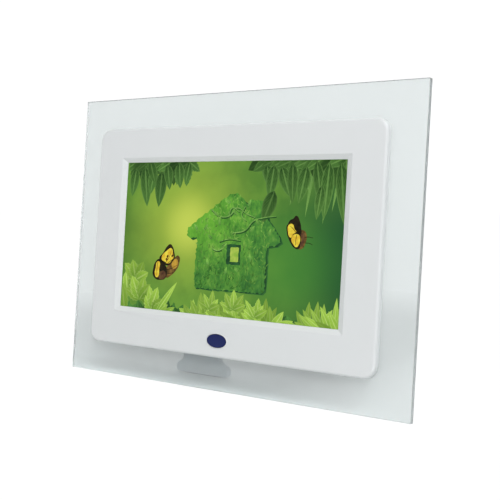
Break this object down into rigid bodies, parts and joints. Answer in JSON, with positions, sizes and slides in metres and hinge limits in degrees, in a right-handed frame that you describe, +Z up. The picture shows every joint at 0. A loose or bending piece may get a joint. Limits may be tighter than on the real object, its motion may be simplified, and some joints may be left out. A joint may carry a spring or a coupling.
{
  "type": "digital photo frame",
  "caption": "Free-standing digital photo frame: white bezel around a wide display on a clear panel, with a rear cover, keys, sockets and a hinged stand leg.",
  "frame": {"origin": "on the table, under the middle of the object's width and depth", "axes": "+X to the viewer's right, the screen faces -Y and leans back 5.5 degrees, +Z up"},
  "size_m": [0.238, 0.0389, 0.1675],
  "materials": {
    "clear_acrylic": "polished, clear",
    "white_plastic": "satin white moulding",
    "sensor_plastic": "dark, polished",
    "foam": "closed-cell foam",
    "sheet_steel": "plated sheet",
    "display_glass": "picture lit from behind",
    "backlight_plastic": "white, matt",
    "light_guide_acrylic": "clear",
    "flex_film": "amber film",
    "circuit_board": "green lacquer",
    "chip_plastic": "moulded black",
    "can_sleeve": "shrink sleeve",
    "ferrite": "sintered",
    "holder_plastic": "natural",
    "plated_metal": "nickel plate",
    "screw_steel": "zinc plate",
    "black_plastic": "moulded",
    "key_plastic": "silver-grey",
    "cover_plastic": "fine-textured light grey",
    "leg_plastic": "grey",
    "rubber": "soft",
    "label": "blank film",
    "magnet": "coated",
    "paper_cone": "pressed paper",
    "lead_sleeve": "PVC sleeve",
    "speaker_lead_sleeve": "PVC sleeve"
  },
  "bodies": {
    "housing": {"clear_panel": "clear_acrylic", "front_bezel": "white_plastic", "bezel_gasket": "foam", "sensor_window": "sensor_plastic", "lcd_gasket": "foam", "lcd_frame": "sheet_steel", "lcd_glass": "display_glass", "diffuser_sheet": "backlight_plastic", "light_guide": "light_guide_acrylic", "led_strip": "backlight_plastic", "backlight_tray": "backlight_plastic", "lcd_flex": "flex_film", "chassis_bracket": "sheet_steel", "bracket_screws": "screw_steel", "main_board": "circuit_board", "board_screws": "screw_steel", "processor_chip": "chip_plastic", "memory_chips": "chip_plastic", "board_capacitors": "can_sleeve", "board_inductors": "ferrite", "coin_holder": "holder_plastic", "coin_cell": "plated_metal", "card_socket": "plated_metal", "usb_port": "plated_metal", "headphone_jack": "black_plastic", "power_jack": "black_plastic", "switch_body": "black_plastic", "key_switches": "black_plastic", "ir_board": "circuit_board", "ir_receiver": "black_plastic", "ir_lead": "lead_sleeve", "speaker_frames": "sheet_steel", "speaker_magnets": "magnet", "speaker_cones": "paper_cone", "speaker_leads": "speaker_lead_sleeve", "speaker_screws": "screw_steel", "rear_cover": "cover_plastic", "hinge_pin": "plated_metal", "cover_screws": "screw_steel", "rating_label": "label"},
    "leg": {"stand_leg": "leg_plastic", "stand_pad": "rubber"},
    "switch": {"switch_slider": "black_plastic"},
    "up_key": {"key_up": "key_plastic", "plunger_up": "holder_plastic"},
    "down_key": {"key_down": "key_plastic", "plunger_down": "holder_plastic"},
    "left_key": {"key_left": "key_plastic", "plunger_left": "holder_plastic"},
    "right_key": {"key_right": "key_plastic", "plunger_right": "holder_plastic"},
    "enter_key": {"key_enter": "key_plastic", "plunger_enter": "holder_plastic"},
    "menu_key": {"key_menu": "key_plastic", "plunger_menu": "holder_plastic"},
    "exit_key": {"key_exit": "key_plastic", "plunger_exit": "holder_plastic"}
  },
  "joints": [
    {"name": "leg_hinge", "type": "hinge", "parent": "housing", "child": "leg", "pos_m": [-0.037, 0.00965, 0.07408], "axis": [-1, 0, 0], "range_deg": [0, 10.5]},
    {"name": "power_switch", "type": "slide", "parent": "housing", "child": "switch", "axis": [0, -0.0958, -0.9954], "range_m": [0, 0.0025]},
    {"name": "up_press", "type": "slide", "parent": "housing", "child": "up_key", "axis": [0, -0.9954, 0.0958], "range_m": [0, 0.0004], "stiffness_N_per_m": 400, "springref_m": -0.0005},
    {"name": "down_press", "type": "slide", "parent": "housing", "child": "down_key", "axis": [0, -0.9954, 0.0958], "range_m": [0, 0.0004], "stiffness_N_per_m": 400, "springref_m": -0.0005},
    {"name": "left_press", "type": "slide", "parent": "housing", "child": "left_key", "axis": [0, -0.9954, 0.0958], "range_m": [0, 0.0004], "stiffness_N_per_m": 400, "springref_m": -0.0005},
    {"name": "right_press", "type": "slide", "parent": "housing", "child": "right_key", "axis": [0, -0.9954, 0.0958], "range_m": [0, 0.0004], "stiffness_N_per_m": 400, "springref_m": -0.0005},
    {"name": "enter_press", "type": "slide", "parent": "housing", "child": "enter_key", "axis": [0, -0.9954, 0.0958], "range_m": [0, 0.0004], "stiffness_N_per_m": 400, "springref_m": -0.0005},
    {"name": "menu_press", "type": "slide", "parent": "housing", "child": "menu_key", "axis": [0, -0.9954, 0.0958], "range_m": [0, 0.0004], "stiffness_N_per_m": 400, "springref_m": -0.0005},
    {"name": "exit_press", "type": "slide", "parent": "housing", "child": "exit_key", "axis": [0, -0.9954, 0.0958], "range_m": [0, 0.0004], "stiffness_N_per_m": 400, "springref_m": -0.0005}
  ]
}
